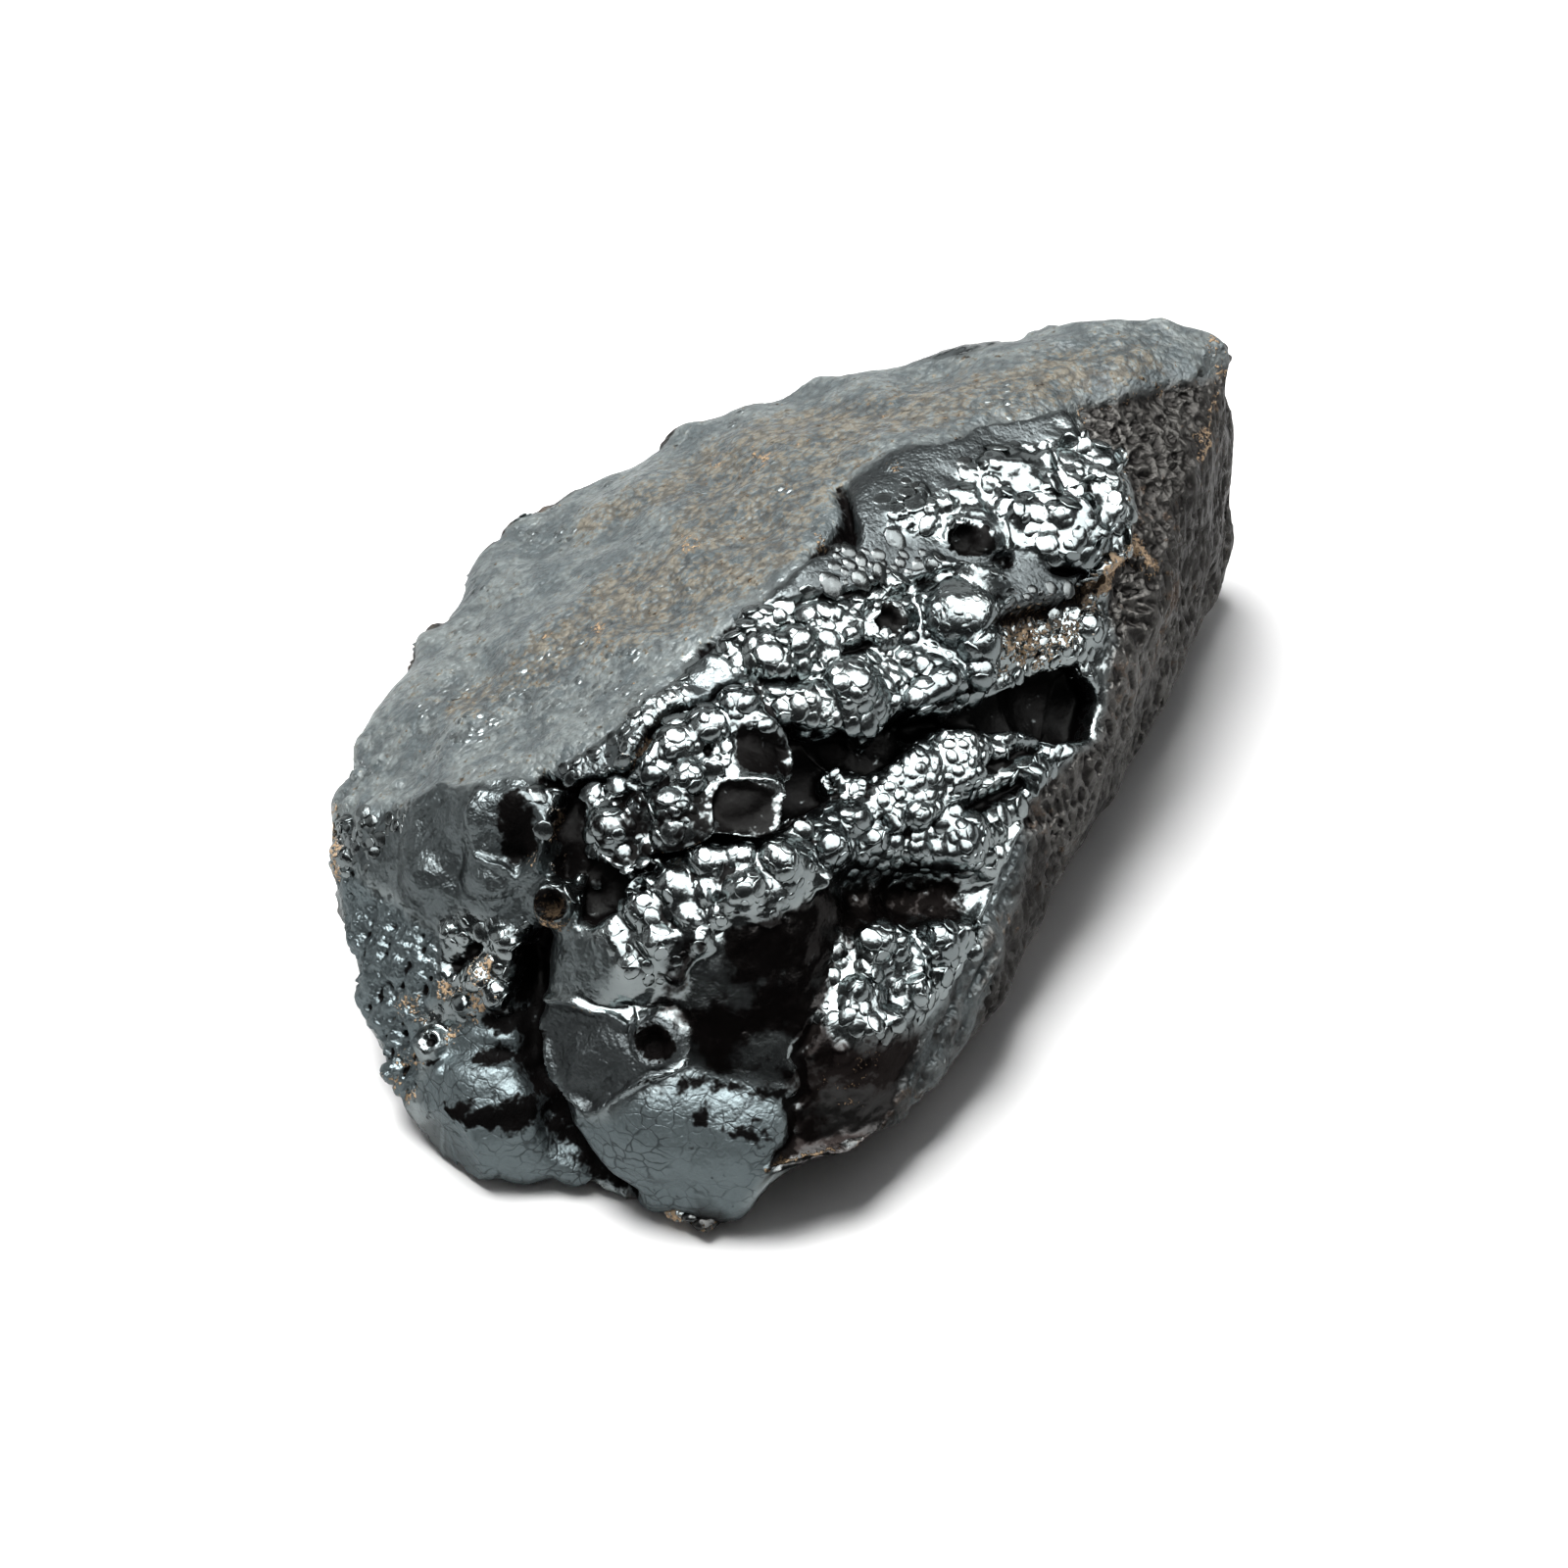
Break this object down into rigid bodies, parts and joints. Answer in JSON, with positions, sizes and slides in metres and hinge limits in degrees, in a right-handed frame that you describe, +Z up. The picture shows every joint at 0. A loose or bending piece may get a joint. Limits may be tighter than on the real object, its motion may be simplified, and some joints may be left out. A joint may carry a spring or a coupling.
{
  "type": "hematite specimen",
  "caption": "Loose lump of kidney-ore hematite with a glossy lumpy crust on its front, a flatter rusty grey top and a matte broken side, lying on a flat underside.",
  "frame": {"origin": "middle of the footprint, on the surface that the stone rests on", "axes": "+X along the long axis to the high far end, -Y towards the lumpy crust and the broken side, +Z up"},
  "size_m": [0.0834, 0.053, 0.03],
  "materials": {
    "hematite": "dark steel-grey, metallic gloss on the lumpy crust, satin grey with rust-brown bands on the top face, matte brown-grey on the broken side"
  },
  "bodies": {
    "root": {"hematite": "hematite"}
  },
  "joints": []
}
